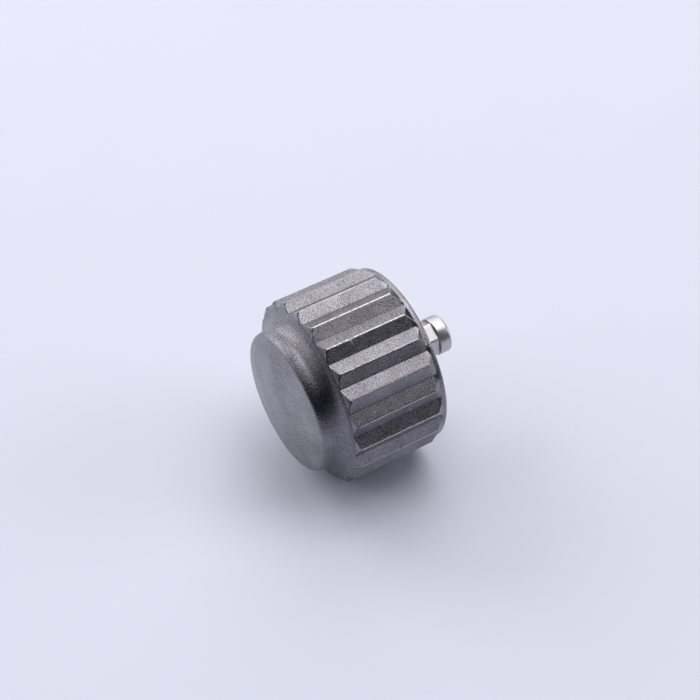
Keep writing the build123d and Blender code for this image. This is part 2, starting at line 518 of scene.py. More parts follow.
    def scuffed(self, graph: Graph, broken: Value) -> Value:
        """Marks the fresh scuffs, whose rough metal scatters the light.

        Args:
            graph: the material's graph.
            broken: a noise that breaks the scuffs up.

        Returns:
            The scuffs, 0 to 1.
        """
        x, y, z = (graph.axis_part(axis) / MM for axis in "XYZ")
        angle = graph.math("ARCTAN2", x, z)
        marked: Value | float = 0.0
        for blemish in self.blemishes:
            around = (angle - math.radians(blemish.angle)) * (self.band_radius / blemish.around)
            along = (y - blemish.y) / blemish.along
            marked = (around * around + along * along).ramp(*self.scuff_range) + marked
        return (marked * (self.scuff_least + broken * (1 - self.scuff_least))).clamped()

    def painted_flute_shade(self, graph: Graph, cloud: Value) -> Value:
        """Marks the painted shade: in the valleys, and at the front ends of the lower flanks.

        Args:
            graph: the material's graph.
            cloud: a noise that varies the painted shade.

        Returns:
            The painted shade, 0 to 1.
        """
        tip, front, side = (graph.mark(name) for name in ("tip_gap", "front_gap", "flank_side"))
        # Painted shade in the valley creases and along the front ends of the flanks before each valley,
        # standing in for their shadows.
        on_band = front.ramp(-self.end_fade, 0.0)
        in_valley = tip.ramp(self.flank - self.root_line, self.flank)
        in_valley = in_valley * (1 - tip.ramp(self.flank, self.flank + self.root_stop))
        reach = self.end_line + tip.ramp(*self.extra_range) * self.end_extra
        at_end = ((reach - front) / self.end_fade).clamped() * (side * -1).clamped()
        at_end = at_end * tip.ramp(0.0, self.tip_clear)
        flute_shade = (in_valley * self.root_shade + at_end) * on_band
        return (flute_shade * (self.shade_least + cloud * self.shade_change)).clamped()


@dataclass(frozen=True)
class TurnedSteel:
    """Steel turned on a lathe, with fine rings round the axis.

    Attributes:
        name: the material's name.
        colour: its lighter colour.
        roughness: its mean roughness.
        ring_pitch: the distance between rings, in millimetres.
        ring_depth: how deep the rings are.
        ring_strength: how much of that depth is used.
        ring_squeeze: how much the noise is drawn out round the axis.
        ring_tone: how much the rings change the tone.
        ring_rough: how much they change the roughness.
        cloud: the size of the slow changes.
        cloud_tone: how much they change the tone.
        cloud_rough: how much they change the roughness.
        shade: the darker colour, as a share of the lighter one.
    """

    name: str
    colour: Colour
    roughness: float
    ring_pitch: float = 0.03
    ring_depth: float = 0.002
    ring_strength: float = 0.6
    ring_squeeze: float = 0.04
    ring_tone: float = 0.6
    ring_rough: float = 0.12
    cloud: float = 0.5
    cloud_tone: float = 1.2
    cloud_rough: float = 0.18
    shade: float = 0.72

    def build(self) -> bpy.types.Material:
        """Mixes the finish.

        Returns:
            The material.
        """
        graph = Graph(self.name)
        drawn_out = graph.stretched((self.ring_squeeze, 1.0, self.ring_squeeze))
        rings = graph.noise(self.ring_pitch, detail=2.0, rough=0.6, place=drawn_out)
        cloud = graph.noise(self.cloud, detail=3.0, rough=0.6)
        dark = tuple(self.shade * part for part in self.colour)
        tone = cloud.swing() * self.cloud_tone + rings.swing() * self.ring_tone + MIDDLE
        roughness = self.roughness + cloud.swing() * self.cloud_rough + rings.swing() * self.ring_rough
        return graph.finish(
            {
                "Base Color": graph.blend(tone.clamped(), dark, self.colour),
                "Metallic": 1.0,
                "Roughness": roughness.clamped(),
                "Normal": graph.bump(rings, self.ring_depth, self.ring_strength),
            }
        )


@dataclass(frozen=True)
class DrawnWire:
    """Spring steel with the long fine lines of drawing."""

    name: str = "drawn_wire"
    colour: Colour = (0.42, 0.42, 0.45)
    dark: Colour = (0.25, 0.25, 0.28)
    cloud: float = 0.22
    line: float = 0.02
    line_relief: Pair = (0.002, 0.5)
    polish: float = 0.26
    dulling: float = 0.16

    def build(self) -> bpy.types.Material:
        """Mixes the finish.

        Returns:
            The material.
        """
        graph = Graph(self.name)
        cloud = graph.noise(self.cloud, detail=3.0, rough=0.6)
        return graph.finish(
            {
                "Base Color": graph.blend(cloud, self.dark, self.colour),
                "Metallic": 1.0,
                "Roughness": (self.polish + cloud * self.dulling).clamped(),
                "Normal": graph.bump(graph.noise(self.line, detail=1.0), *self.line_relief),
            }
        )


@dataclass(frozen=True)
class SealRubber:
    """Black moulded rubber with a dull bloom."""

    name: str = "seal_rubber"
    colour: Colour = (0.018, 0.018, 0.02)
    bloom: Colour = (0.055, 0.055, 0.058)
    cloud: float = 0.3
    bloom_range: Pair = (0.35, 0.75)
    skin: float = 0.04
    skin_relief: Pair = (0.003, 0.5)
    roughness: float = 0.48
    cloud_rough: float = 0.3

    def build(self) -> bpy.types.Material:
        """Mixes the finish.

        Returns:
            The material.
        """
        graph = Graph(self.name)
        cloud = graph.noise(self.cloud, detail=4.0, rough=0.65)
        return graph.finish(
            {
                "Base Color": graph.blend(cloud.ramp(*self.bloom_range), self.colour, self.bloom),
                "Roughness": (self.roughness + cloud.swing() * self.cloud_rough).clamped(),
                "Normal": graph.bump(graph.noise(self.skin, detail=2.0), *self.skin_relief),
            }
        )


@dataclass(frozen=True)
class WasherPolymer:
    """Natural, slightly waxy bearing polymer."""

    name: str = "washer_polymer"
    colour: Colour = (0.74, 0.70, 0.60)
    dark: Colour = (0.60, 0.55, 0.45)
    cloud: float = 0.35
    skin: float = 0.05
    skin_relief: Pair = (0.003, 0.4)
    roughness: float = 0.42
    cloud_rough: float = 0.2
    glow: float = 0.1
    glow_radius: tuple[float, float, float] = (0.0003, 0.0002, 0.0001)

    def build(self) -> bpy.types.Material:
        """Mixes the finish.

        Returns:
            The material.
        """
        graph = Graph(self.name)
        cloud = graph.noise(self.cloud, detail=3.0)
        return graph.finish(
            {
                "Base Color": graph.blend(cloud, self.dark, self.colour),
                "Roughness": (self.roughness + cloud.swing() * self.cloud_rough).clamped(),
                "Subsurface Weight": self.glow,
                "Subsurface Radius": self.glow_radius,
                "Normal": graph.bump(graph.noise(self.skin, detail=2.0), *self.skin_relief),
            }
        )


@dataclass(frozen=True)
class PaleTable:
    """A pale, faintly lavender tabletop."""

    name: str = "pale_table"
    colour: Colour = (0.785, 0.80, 0.905)
    dim: Colour = (0.765, 0.78, 0.885)
    cloud: float = 7.0
    skin: float = 0.6
    skin_relief: Pair = (0.01, 0.25)
    roughness: float = 0.62
    specular: float = 0.25

    def build(self) -> bpy.types.Material:
        """Mixes the finish.

        Returns:
            The material.
        """
        graph = Graph(self.name)
        cloud = graph.noise(self.cloud, detail=3.0, rough=0.55)
        return graph.finish(
            {
                "Base Color": graph.blend(cloud, self.dim, self.colour),
                "Roughness": self.roughness,
                "Specular IOR Level": self.specular,
                "Normal": graph.bump(graph.noise(self.skin, detail=3.0), *self.skin_relief),
            }
        )


@dataclass(frozen=True)
class DarkCard:
    """A dull black card."""

    name: str = "dark_card"
    colour: Colour = (0.012, 0.012, 0.014)
    worn: Colour = (0.02, 0.02, 0.022)
    cloud: float = 3.0
    roughness: float = 0.9

    def build(self) -> bpy.types.Material:
        """Mixes the finish.

        Returns:
            The material.
        """
        graph = Graph(self.name)
        colour = graph.blend(graph.noise(self.cloud, detail=3.0), self.colour, self.worn)
        return graph.finish({"Base Color": colour, "Roughness": self.roughness})


# Meshes


@dataclass(frozen=True)
class Corner:
    """A corner of a section that is turned about the axis.

    Attributes:
        radius: its distance from the axis, in millimetres.
        y: its place along the axis, in millimetres.
        round: the radius of the rounding at the corner, in millimetres.
    """

    radius: float
    y: float
    round: float = 0.0


def softened(gap: float, size: float) -> float:
    """Gives how far a rounding stands off two faces that meet.

    Args:
        gap: how far apart the faces are here.
        size: the size of the rounding.

    Returns:
        The offset, which ends where the gap reaches the size.
    """
    return (max(size - gap, 0) / size) ** 2 * size / 4


def rounded(corners: Sequence[Corner], steps: int, closed: bool = False) -> list[Point]:
    """Rounds the corners of a section.

    Args:
        corners: the section's corners in order.
        steps: how many edges each rounding has.
        closed: whether the last corner joins the first.

    Returns:
        The points (radius, y), always as many for the same corners and steps.
    """
    points: list[Point] = []
    count = len(corners)
    for i, corner in enumerate(corners):
        here = np.array((corner.radius, corner.y))
        inner = closed or 0 < i < count - 1
        if not inner or corner.round <= 0:
            points.append((corner.radius, corner.y))
            continue
        before = corners[(i - 1) % count]
        after = corners[(i + 1) % count]
        back = np.array((before.radius, before.y)) - here
        ahead = np.array((after.radius, after.y)) - here
        back_length, ahead_length = np.linalg.norm(back), np.linalg.norm(ahead)
        back, ahead = back / back_length, ahead / ahead_length
        half = math.acos(float(np.clip(back @ ahead, -1, 1))) / 2
        reach = corner.round / max(math.tan(half), TINY)
        reach = min(reach, ROUNDING_SHARE * back_length, ROUNDING_SHARE * ahead_length)
        start, end = here + back * reach, here + ahead * reach
        for step in range(steps + 1):
            t = step / steps
            weights = ((1 - t) ** 2, 2 * t * (1 - t) * math.sin(half), t**2)
            bent = (weights[0] * start + weights[1] * here + weights[2] * end) / sum(weights)
            points.append((float(bent[0]), float(bent[1])))
    return points


def make_object(
    name: str,
    points: np.ndarray,
    faces: Sequence[Sequence[int]],
    marks: Mapping[str, np.ndarray] | None = None,
    sharp: float = 40.0,
) -> bpy.types.Object:
    """Makes a mesh object in the scene.

    Args:
        name: the object's name.
        points: the points in millimetres, one row each.
        faces: the point numbers of each face.
        marks: values stored at the points, by name.
        sharp: the angle in degrees above which an edge stays hard.

    Returns:
        The object.
    """
    mesh = bpy.data.meshes.new(name)
    mesh.from_pydata((points * MM).tolist(), [], faces)
    for mark, values in (marks or {}).items():
        mesh.attributes.new(mark, "FLOAT", "POINT").data.foreach_set("value", values.astype(np.float32))
    mesh.shade_smooth()
    mesh.set_sharp_from_angle(angle=math.radians(sharp))
    made = bpy.data.objects.new(name, mesh)
    bpy.context.scene.collection.objects.link(made)
    return made


def keep_flats(piece: bpy.types.Object) -> None:
    """Shades the flats of a piece flat, with its roundings between them.

    Args:
        piece: the piece.
    """
    modifier = piece.modifiers.new("flats", "WEIGHTED_NORMAL")
    modifier.keep_sharp = True
    modifier.weight = FLATS_WEIGHT


def turned_ring(name: str, section: Sequence[Point]) -> bpy.types.Object:
    """Turns a closed section about the axis.

    Args:
        name: the object's name.
        section: the points (radius, y) of the loop, in millimetres.

    Returns:
        The object.
    """
    angles = [2 * math.pi * i / RING_SEGMENTS for i in range(RING_SEGMENTS)]
    points, faces = wrapped([section] * RING_SEGMENTS, angles, closed=True)
    piece = make_object(name, points, faces)
    keep_flats(piece)
    return piece


def off_axis(radius: float, y: float, turn: float) -> tuple[float, float, float]:
    """Places a point at a radius, a place along the axis and an angle from +Z towards +X."""
    return (radius * math.sin(turn), y, radius * math.cos(turn))


def quad(columns: tuple[int, int], rows: tuple[int, int], count: int) -> tuple[int, ...]:
    """Joins two rows of two columns of points into one face.

    Args:
        columns: the numbers of the two columns.
        rows: the numbers of the two rows.
        count: how many points a column has.

    Returns:
        The point numbers of the face.
    """
    (left, right), (low, high) = columns, rows
    return (left * count + low, left * count + high, right * count + high, right * count + low)


def wrapped(
    columns: Sequence[Sequence[Point]], angles: Sequence[float], closed: bool
) -> tuple[np.ndarray, list[tuple[int, ...]]]:
    """Joins sections that stand round the axis into one closed skin.

    Args:
        columns: one section for each angle, all with as many points.
        angles: the angles in radians, from +Z towards +X.
        closed: whether a section is a loop; otherwise its ends are on the axis.

    Returns:
        The points in millimetres and the faces.
    """
    count, rows = len(columns), len(columns[0])
    section = np.array(columns)
    turn = np.array(angles)[:, None]
    grid = np.stack(
        (section[..., 0] * np.sin(turn), section[..., 1], section[..., 0] * np.cos(turn)), axis=-1
    )
    faces: list[tuple[int, ...]] = []
    if closed:
        for i in range(count):
            j = (i + 1) % count
            faces += [quad((i, j), (k, (k + 1) % rows), rows) for k in range(rows)]
        return grid.reshape(-1, 3), faces
    inner = rows - 2
    points = np.vstack((grid[:, 1:-1].reshape(-1, 3), grid[0, 0], grid[0, -1]))
    front, rear = count * inner, count * inner + 1
    for i in range(count):
        j = (i + 1) % count
        faces.append((front, i * inner, j * inner))
        faces += [quad((i, j), (k, k + 1), inner) for k in range(inner - 1)]
        faces.append((i * inner + inner - 1, rear, j * inner + inner - 1))
    return points, faces


# Sub-assemblies


class Body(Enum):
    """The bodies of the frame that the pieces ride on."""

    HEAD = "head"
    POST = "post"


class Slot(Enum):
    """The record's material slots."""

    HEAD = "head_steel"
    POST = "post_steel"
    INNER = "inner_steel"
    SPRING = "spring_steel"
    RUBBER = "seal_rubber"
    POLYMER = "washer_polymer"


@dataclass(frozen=True)
class Dressing:
    """Finishes by slot, and how a piece is put on its body."""

    finishes: Mapping[Slot, bpy.types.Material]

    def put_on(self, piece: bpy.types.Object, body: Body, slot: Slot, *nodes: str) -> None:
        """Gives a new piece its finish and lets it stand for its nodes.

        Args:
            piece: the new piece.
            body: the body it rides on.
            slot: the slot its finish comes from.
            nodes: the frame's nodes that it stands for.
        """
        piece.data.materials.append(self.finishes[slot])
        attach(piece, body.value)
        if nodes:
            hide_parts(*nodes)
        log.info("%s: %d points, rides on %s", piece.name, len(piece.data.vertices), body.value)

    def dress(self, piece: bpy.types.Object, slot: Slot) -> None:
        """Gives one of the frame's own pieces its finish.

        Args:
            piece: the piece.
            slot: the slot its finish comes from.
        """
        piece.data.materials.clear()
        piece.data.materials.append(self.finishes[slot])
        log.info("%s: kept from the frame", piece.name)


@dataclass(frozen=True)
class Nick:
    """A small dent in a flute's tip.

    Attributes:
        tip: the number of the tip, counted from +Z towards +X.
        y: its place along the axis.
        length: how far it reaches along the tip.
        depth: how deep it is.
        width: how far it reaches across the tip.
    """

    tip: int
    y: float
    length: float
    depth: float
    width: float = 0.05


@dataclass(frozen=True)
class Column:
    """Where one section of the head stands.

    Attributes:
        angle: its angle from +Z towards +X, in radians.
        across: its angle from the nearest valley, in radians.
        side: 1 on the flank after its valley, -1 on the flank before it, 0 on tips and valleys.
    """

    angle: float
    across: float
    side: float


@dataclass
class CrownHead:
    """The fluted, domed head, with its cup and the socket for the barrel.

    Attributes:
        flute_count: how many flutes there are.
        tip_radius: the radius over their tips.
        valley_radius: the radius in their valleys.
        tip_land: the width of a tip's flat.
        tip_round: the rounding of a tip.
        valley_round: the rounding of a valley.
        end_round: the rounding of the flutes' ends.
        run_out: how far ahead of the rear ring the flutes end.
        dome_top: the middle of the face, along the axis.
        dome_edge: the edge of the face, along the axis.
        dome_radius: the radius of the face.
        face_edge_radius: the rounding of its edge.
        flank_radius: the radius of the neck where its cove begins.
        flank_rear: where that is along the axis.
        cove_radius: the radius of the cove.
        shelf_front: where the front shelf begins.
        shelf_radius: the radius there.
        band_front: where the shelf would meet the tips.
        band_front_radius: the rounding of that corner.
        band_rear: where the rear shoulder leaves the tips.
        shoulder_rear: where it meets the rear ring.
        rim_radius: the radius of the rear ring.
        rim_round: the rounding of its rear edge.
        mouth_radius: the radius of the cup's mouth.
        mouth_depth: how deep the mouth's chamfer is.
        cup_radius: the radius of the cup.
        cup_floor: the floor of the cup.
        socket_radius: the radius of the barrel's socket.
        socket_floor: the floor of the socket.
        inner_round: the rounding of the inner edges.
        mark_gap: how far inside the shelf's radius the marks on the band begin.
        mark_lead: how far ahead of the flutes' front ends they begin.
        mark_trail: how far behind their rear ends they end.
        cove_lap: how far inside the flutes the cove ends at the latest.
        dome_rings: how many rings the face has.
        edge_steps: how many edges the rounding of the face has.
        cove_steps: how many edges the cove has.
        shelf_steps: how many edges the shelf has.
        front_steps: how many edges the rounding of the flutes' front ends has.
        rear_steps: how many edges the roundings behind it have.
        flank_rows: how many edges a flute has along its length.
        nicks: the dents in the tips.
        half_steps: where the columns stand, as shares of the way from a valley to a tip.
        end_steps: where the first rows of a flute stand behind its front.
    """

    flute_count: int = 22
    tip_radius: float = 3.5
    valley_radius: float = 3.27
    tip_land: float = 0.05
    tip_round: float = 0.018
    valley_round: float = 0.005
    end_round: float = 0.05
    run_out: float = 0.02
    dome_top: float = -4.90
    dome_edge: float = -4.69
    dome_radius: float = 2.62
    face_edge_radius: float = 0.45
    flank_radius: float = 2.69
    flank_rear: float = -4.39
    cove_radius: float = 0.62
    shelf_front: float = -3.77
    shelf_radius: float = 3.31
    band_front: float = -3.65
    band_front_radius: float = 0.07
    band_rear: float = -0.45
    shoulder_rear: float = -0.20
    rim_radius: float = 3.33
    rim_round: float = 0.06
    mouth_radius: float = 2.93
    mouth_depth: float = 0.08
    cup_radius: float = 2.85
    cup_floor: float = -3.17
    socket_radius: float = 1.32
    socket_floor: float = -3.84
    inner_round: float = 0.012
    mark_gap: float = 0.05
    mark_lead: float = 0.12
    mark_trail: float = 0.02
    cove_lap: float = 0.02
    dome_rings: int = 16
    edge_steps: int = 10
    cove_steps: int = 16
    shelf_steps: int = 5
    front_steps: int = 6
    rear_steps: int = 3
    flank_rows: int = 56
    nicks: tuple[Nick, ...] = (
        Nick(1, -2.67, 0.05, 0.03),
        Nick(2, -3.05, 0.05, 0.012),
        Nick(4, -0.95, 0.06, 0.012),
        Nick(5, -1.75, 0.07, 0.015),
        Nick(14, -2.4, 0.12, 0.02),
        Nick(18, -1.2, 0.08, 0.018),
    )
    half_steps: tuple[float, ...] = (
        0.0, 0.02, 0.05, 0.1, 0.22, 0.4, 0.6, 0.76, 0.84, 0.87, 0.895, 0.915, 0.935, 0.955, 0.975
    )
    end_steps: tuple[float, ...] = (0.02, 0.05, 0.09, 0.15)

    def flute_columns(self) -> list[Column]:
        """Places the columns of the mesh, close together at the tips and valleys.

        Returns:
            The columns, in order round the axis.
        """
        half = math.pi / self.flute_count
        shares = [*self.half_steps, 1.0, *reversed(self.half_steps[1:])]
        signs = [1.0] * (len(self.half_steps) + 1) + [-1.0] * (len(self.half_steps) - 1)
        placed = []
        for flute in range(self.flute_count):
            valley = 2 * half * flute + math.pi
            for share, sign in zip(shares, signs):
                across = share * half
                angle = valley + (across if sign > 0 else 2 * half - across)
                placed.append(Column(angle, across, sign if 0 < share < 1 else 0.0))
        return placed

    def flute_reach(self, across: float) -> float:
        """Gives the radius of the flutes.

        Args:
            across: the angle from the nearest valley, in radians.

        Returns:
            The distance from the axis.
        """
        half = math.pi / self.flute_count
        land = self.tip_land / 2 / self.tip_radius
        edge = half - land
        slope = (self.tip_radius * math.cos(edge) - self.valley_radius) / (self.tip_radius * math.sin(edge))
        flank = self.valley_radius / (math.cos(across) - slope * math.sin(across))
        low, high = min(flank, self.tip_radius), max(flank, self.tip_radius)
        reach = low - softened(high - low, self.tip_round)
        return reach + softened(slope * self.valley_radius * across, self.valley_round)

    def shelf_place(self, radius: float) -> float:
        """Finds the cove's end, the front shelf or its rounded corner at a radius.

        Args:
            radius: the distance from the axis.

        Returns:
            The place along the axis.
        """
        if radius < self.shelf_radius:
            return self.flank_rear + math.sqrt(self.cove_radius**2 - (self.shelf_radius - radius) ** 2)
        run = (self.band_front - self.shelf_front) / (self.tip_radius - self.shelf_radius)
        straight = self.shelf_front + (radius - self.shelf_radius) * run
        turn = math.pi / 2 - math.atan(run)
        reach = self.band_front_radius * math.tan(turn / 2)
        start = self.tip_radius - reach * math.cos(math.atan(run))
        if radius <= start:
            return straight
        centre = self.tip_radius - self.band_front_radius
        deep = math.sqrt(max(self.band_front_radius**2 - (radius - centre) ** 2, 0))
        return self.band_front + reach - deep

    def shoulder_place(self, radius: float) -> float:
        """Finds the rear shoulder at a radius, or the flute's end at the rear ring."""
        run = (self.shoulder_rear - self.band_rear) / (self.tip_radius - self.rim_radius)
        return min(self.band_rear + (self.tip_radius - radius) * run, self.shoulder_rear - self.run_out)

    def dome(self) -> list[Point]:
        """Draws the face from its middle to the start of its rounded edge.

        Returns:
            The points (radius, y).
        """
        rise = self.dome_edge - self.dome_top
        sphere = (self.dome_radius**2 + rise**2) / (2 * rise)
        last = self.dome_radius - self.face_edge_radius
        drawn = []
        for i in range(self.dome_rings + 1):
            radius = last * i / self.dome_rings
            drawn.append((radius, self.dome_top + sphere - math.sqrt(sphere**2 - radius**2)))
        return drawn

    def section(self, column: Column) -> list[Point]:
        """Draws the section of the head at one column.

        Args:
            column: where the section stands.

        Returns:
            The points (radius, y), from the middle of the face to the middle of the socket.
        """
        reach = self.flute_reach(column.across)
        drawn = self.dome()
        edge = [
            Corner(*drawn[-1]),
            Corner(self.dome_radius, self.dome_edge, self.face_edge_radius),
            Corner(self.flank_radius, self.flank_rear),
        ]
        drawn += rounded(edge, self.edge_steps)[1:]
        shelf_start = min(self.shelf_radius, reach - self.cove_lap)
        cove_turn = math.acos((self.shelf_radius - shelf_start) / self.cove_radius)
        for i in range(1, self.cove_steps + 1):
            turn = cove_turn * i / self.cove_steps
            drawn.append(
                (
                    self.shelf_radius - self.cove_radius * math.cos(turn),
                    self.flank_rear + self.cove_radius * math.sin(turn),
                )
            )
        front = self.shelf_place(reach)
        rear = self.shoulder_place(reach)
        for i in range(1, self.shelf_steps):
            radius = shelf_start + (reach - shelf_start) * i / self.shelf_steps
            drawn.append((radius, self.shelf_place(radius)))
        band = [
            Corner(*drawn[-1]),
            Corner(reach, front, self.end_round),
            Corner(reach, (front + rear) / 2),
        ]
        drawn += rounded(band, self.front_steps)[1:-1]
        drawn += self.flank_run(column.angle, reach, drawn[-1][1], rear)
        tail = [
            Corner(reach, (front + rear) / 2),
            Corner(reach, rear, self.end_round),
            Corner(self.rim_radius, self.shoulder_rear, self.end_round),
            Corner(self.rim_radius, 0, self.rim_round),
            Corner(self.mouth_radius, 0, self.inner_round),
            Corner(self.cup_radius, -self.mouth_depth, self.inner_round),
            Corner(self.cup_radius, self.cup_floor, self.inner_round),
            Corner(self.socket_radius, self.cup_floor, self.inner_round),
            Corner(self.socket_radius, self.socket_floor, self.inner_round),
            Corner(0, self.socket_floor),
        ]
        return drawn + rounded(tail, self.rear_steps)[1:]

    def flank_run(self, angle: float, reach: float, front: float, rear: float) -> list[Point]:
        """Draws the flute from its front to its rear, with the dents in its tip.

        Args:
            angle: the angle of the section, in radians.
            reach: the flute's radius here.
            front: where the flute begins.
            rear: where it ends.

        Returns:
            The points (radius, y).
        """
        half = math.pi / self.flute_count
        run = []
        start = front + self.end_steps[-1]
        even = [start + (rear - start) * i / self.flank_rows for i in range(1, self.flank_rows)]
        for y in (*(front + step for step in self.end_steps), *even):
            dent = 0.0
            for nick in self.nicks:
                off = (angle - (2 * nick.tip + 1) * half + math.pi) % (2 * math.pi) - math.pi
                along, around = (y - nick.y) / nick.length, off * self.tip_radius / nick.width
                dent += nick.depth * math.exp(-(along**2) - around**2)
            run.append((reach - dent, y))
        return run

    def build(self, dressing: Dressing) -> None:
        """Builds and dresses the head.

        Args:
            dressing: the finishes.
        """
        placed = self.flute_columns()
        sections = [self.section(column) for column in placed]
        points, faces = wrapped(sections, [column.angle for column in placed], closed=False)
        marks = self.marks(sections, placed)
        piece = make_object("fluted_head", points, faces, marks, sharp=50)
        keep_flats(piece)
        dressing.put_on(piece, Body.HEAD, Slot.HEAD, "crown_head")

    def marks(
        self, sections: Sequence[Sequence[Point]], placed: Sequence[Column]
    ) -> dict[str, np.ndarray]:
        """Measures each point of the mesh from the lines of the flutes.

        Args:
            sections: the sections.
            placed: where each section stands.

        Returns:
            The distance from the nearest tip and from the flute's front end, in
            millimetres, and the side of the flank, at each point.
        """
        half = math.pi / self.flute_count
        elsewhere = {"tip_gap": 1.0, "front_gap": -1.0, "flank_side": 0.0}
        marks: dict[str, list[float]] = {name: [] for name in elsewhere}
        for section, column in zip(sections, placed):
            reach = self.flute_reach(column.across)
            front, rear = self.shelf_place(reach), self.shoulder_place(reach)
            first, last = front - self.mark_lead, rear + self.mark_trail
            gap = (half - column.across) * self.tip_radius
            for radius, y in section[1:-1]:
                on_band = radius > self.shelf_radius - self.mark_gap and first < y < last
                here = {"tip_gap": gap, "front_gap": y - front, "flank_side": column.side}
                for name, values in marks.items():
                    values.append(here[name] if on_band else elsewhere[name])
        middles = {name: [far, far] for name, far in elsewhere.items()}
        return {name: np.array(values + middles[name]) for name, values in marks.items()}


@dataclass
class StemPost:
    """The six-sided post, with its round end collar and the rivet that holds its piston.

    Attributes:
        hex_radius: the radius over the six corners.
        hex_round: the rounding of the corners.
        hex_turn: the angle from a corner at which its rounding ends, in radians.
        hex_share: how much of the rounding is taken off at the corner itself.
        hex_front: where the six sides begin along the axis.
        collar_radius: the radius of the end collar.
        collar_front: where the collar begins.
        collar_end: where the collar and the post end.
        end_round: the rounding of the collar's end.
        inner_round: the rounding of the collar's front over a flat.
        corner_round: the same over a corner of the six sides.
        flat_reach: the radius that tells a flat from a corner.
        bore_radius: the radius of the hole for the stem's thread.
        bore_floor: the floor of the hole.
        sink: how deep the hole's countersink is.
        rivet_radius: the radius of the rivet's neck.
        rivet_flare: how far the rivet's head stands out from it.
        piston_front: where the piston's front is.
        rivet_front: where the rivet's head begins.
        edge: the rounding of small edges.
        rivet_round: the rounding of the rivet's head.
        neck_round: the rounding of the rivet's neck.
        front_round: the rounding of the six sides' front edge.
        root_round: the rounding where the six sides meet the collar.
        round_steps: how many edges each rounding has.
        turn_steps: how many sections stand round the post.
        thread_pitch: the pitch of the stem's thread.
        thread_depth: how far its turns stand into the hole.
        thread_sink: how far its roots lie in the wall.
        thread_share: half the width of a turn, as a share of the pitch.
        crest_share: half the width of its crest, as a share of that.
        thread_fit: how much of its width is drawn.
        thread_floor: how far above the hole's floor the thread begins.
        thread_mouth: how far inside the countersink it ends.
        thread_steps: how many steps a turn of the thread has.
        fade_steps: how many steps each end of it takes to rise.
    """

    hex_radius: float = 0.693
    hex_round: float = 0.03
    hex_turn: float = 0.11
    hex_share: float = 0.4
    hex_front: float = -0.73
    collar_radius: float = 0.72
    collar_front: float = 1.45
    collar_end: float = 1.95
    end_round: float = 0.12
    inner_round: float = 0.05
    corner_round: float = 0.025
    flat_reach: float = 0.66
    bore_radius: float = 0.45
    bore_floor: float = -0.15
    sink: float = 0.08
    rivet_radius: float = 0.42
    rivet_flare: float = 0.08
    piston_front: float = -1.23
    rivet_front: float = -1.29
    edge: float = 0.01
    rivet_round: float = 0.02
    neck_round: float = 0.005
    front_round: float = 0.02
    root_round: float = 0.012
    round_steps: int = 6
    turn_steps: int = 240
    thread_pitch: float = 0.225
    thread_depth: float = 0.07
    thread_sink: float = 0.004
    thread_share: float = 0.44
    crest_share: float = 0.2
    thread_fit: float = 0.98
    thread_floor: float = 0.25
    thread_mouth: float = 0.02
    thread_steps: int = 60
    fade_steps: int = 30

    def hex_reach(self, angle: float) -> float:
        """Gives the radius of the rounded hexagon, whose corners lie on +Z and -Z.

        Args:
            angle: the angle from +Z towards +X, in radians.

        Returns:
            The distance from the axis.
        """
        sixth = math.pi / 3
        flat = self.hex_radius * math.cos(sixth / 2)
        off = (angle + sixth / 2) % sixth - sixth / 2
        sharp = flat / math.cos(abs(off) - sixth / 2)
        blend = max(1 - abs(off) / self.hex_turn, 0)
        return sharp - blend**2 * self.hex_round * self.hex_share

    def section(self, angle: float) -> list[Point]:
        """Draws the section of the post at one angle.

        Args:
            angle: the angle from +Z towards +X, in radians.

        Returns:
            The points (radius, y), from the rivet's middle to the middle of the hole's floor.
        """
        reach = self.hex_reach(angle)
        flare = self.rivet_radius + self.rivet_flare
        collar_round = self.inner_round if reach < self.flat_reach else self.corner_round
        corners = [
            Corner(0, self.rivet_front),
            Corner(flare, self.rivet_front, self.rivet_round),
            Corner(flare, self.piston_front, self.neck_round),
            Corner(self.rivet_radius, self.piston_front, self.neck_round),
            Corner(self.rivet_radius, self.hex_front, self.edge),
            Corner(reach, self.hex_front, self.front_round),
            Corner(reach, self.collar_front, self.root_round),
            Corner(self.collar_radius, self.collar_front, collar_round),
            Corner(self.collar_radius, self.collar_end, self.end_round),
            Corner(self.bore_radius + self.sink, self.collar_end, self.edge),
            Corner(self.bore_radius, self.collar_end - self.sink, self.edge),
            Corner(self.bore_radius, self.bore_floor, self.edge),
            Corner(0, self.bore_floor),
        ]
        return rounded(corners, self.round_steps)

    def build(self, dressing: Dressing) -> None:
        """Builds and dresses the post and the thread in its end.

        Args:
            dressing: the finishes.
        """
        angles = [2 * math.pi * i / self.turn_steps for i in range(self.turn_steps)]
        points, faces = wrapped([self.section(angle) for angle in angles], angles, closed=False)
        piece = make_object("sprung_post", points, faces, sharp=50)
        keep_flats(piece)
        dressing.put_on(piece, Body.POST, Slot.POST, "stem_post")
        self.build_thread(dressing)

    def build_thread(self, dressing: Dressing) -> None:
        """Winds the thread for the stem inside the bore.

        Args:
            dressing: the finishes.
        """
        front = self.bore_floor + self.thread_floor
        rear = self.collar_end - self.sink - self.thread_mouth
        turns = (rear - front) / self.thread_pitch
        steps = int(turns * self.thread_steps)
        half = self.thread_pitch * self.thread_share
        outline = (
            (self.thread_sink, -half),
            (-self.thread_depth, -self.crest_share * half),
            (-self.thread_depth, self.crest_share * half),
            (self.thread_sink, half),
        )
        points, faces = [], []
        for i in range(steps + 1):
            turn = 2 * math.pi * turns * i / steps
            fade = min(1.0, min(i, steps - i) / self.fade_steps)
            middle = front + (rear - front) * i / steps
            for out, along in outline:
                radius = self.bore_radius + (out if out > 0 else out * fade)
                points.append(off_axis(radius, middle + along * self.thread_fit, turn))
        rows = len(outline)
        for i in range(steps):
            faces += [quad((i, i + 1), (k, k + 1), rows) for k in range(rows - 1)]
        piece = make_object("stem_thread_turns", np.array(points), faces, sharp=30)
        dressing.put_on(piece, Body.POST, Slot.POST)


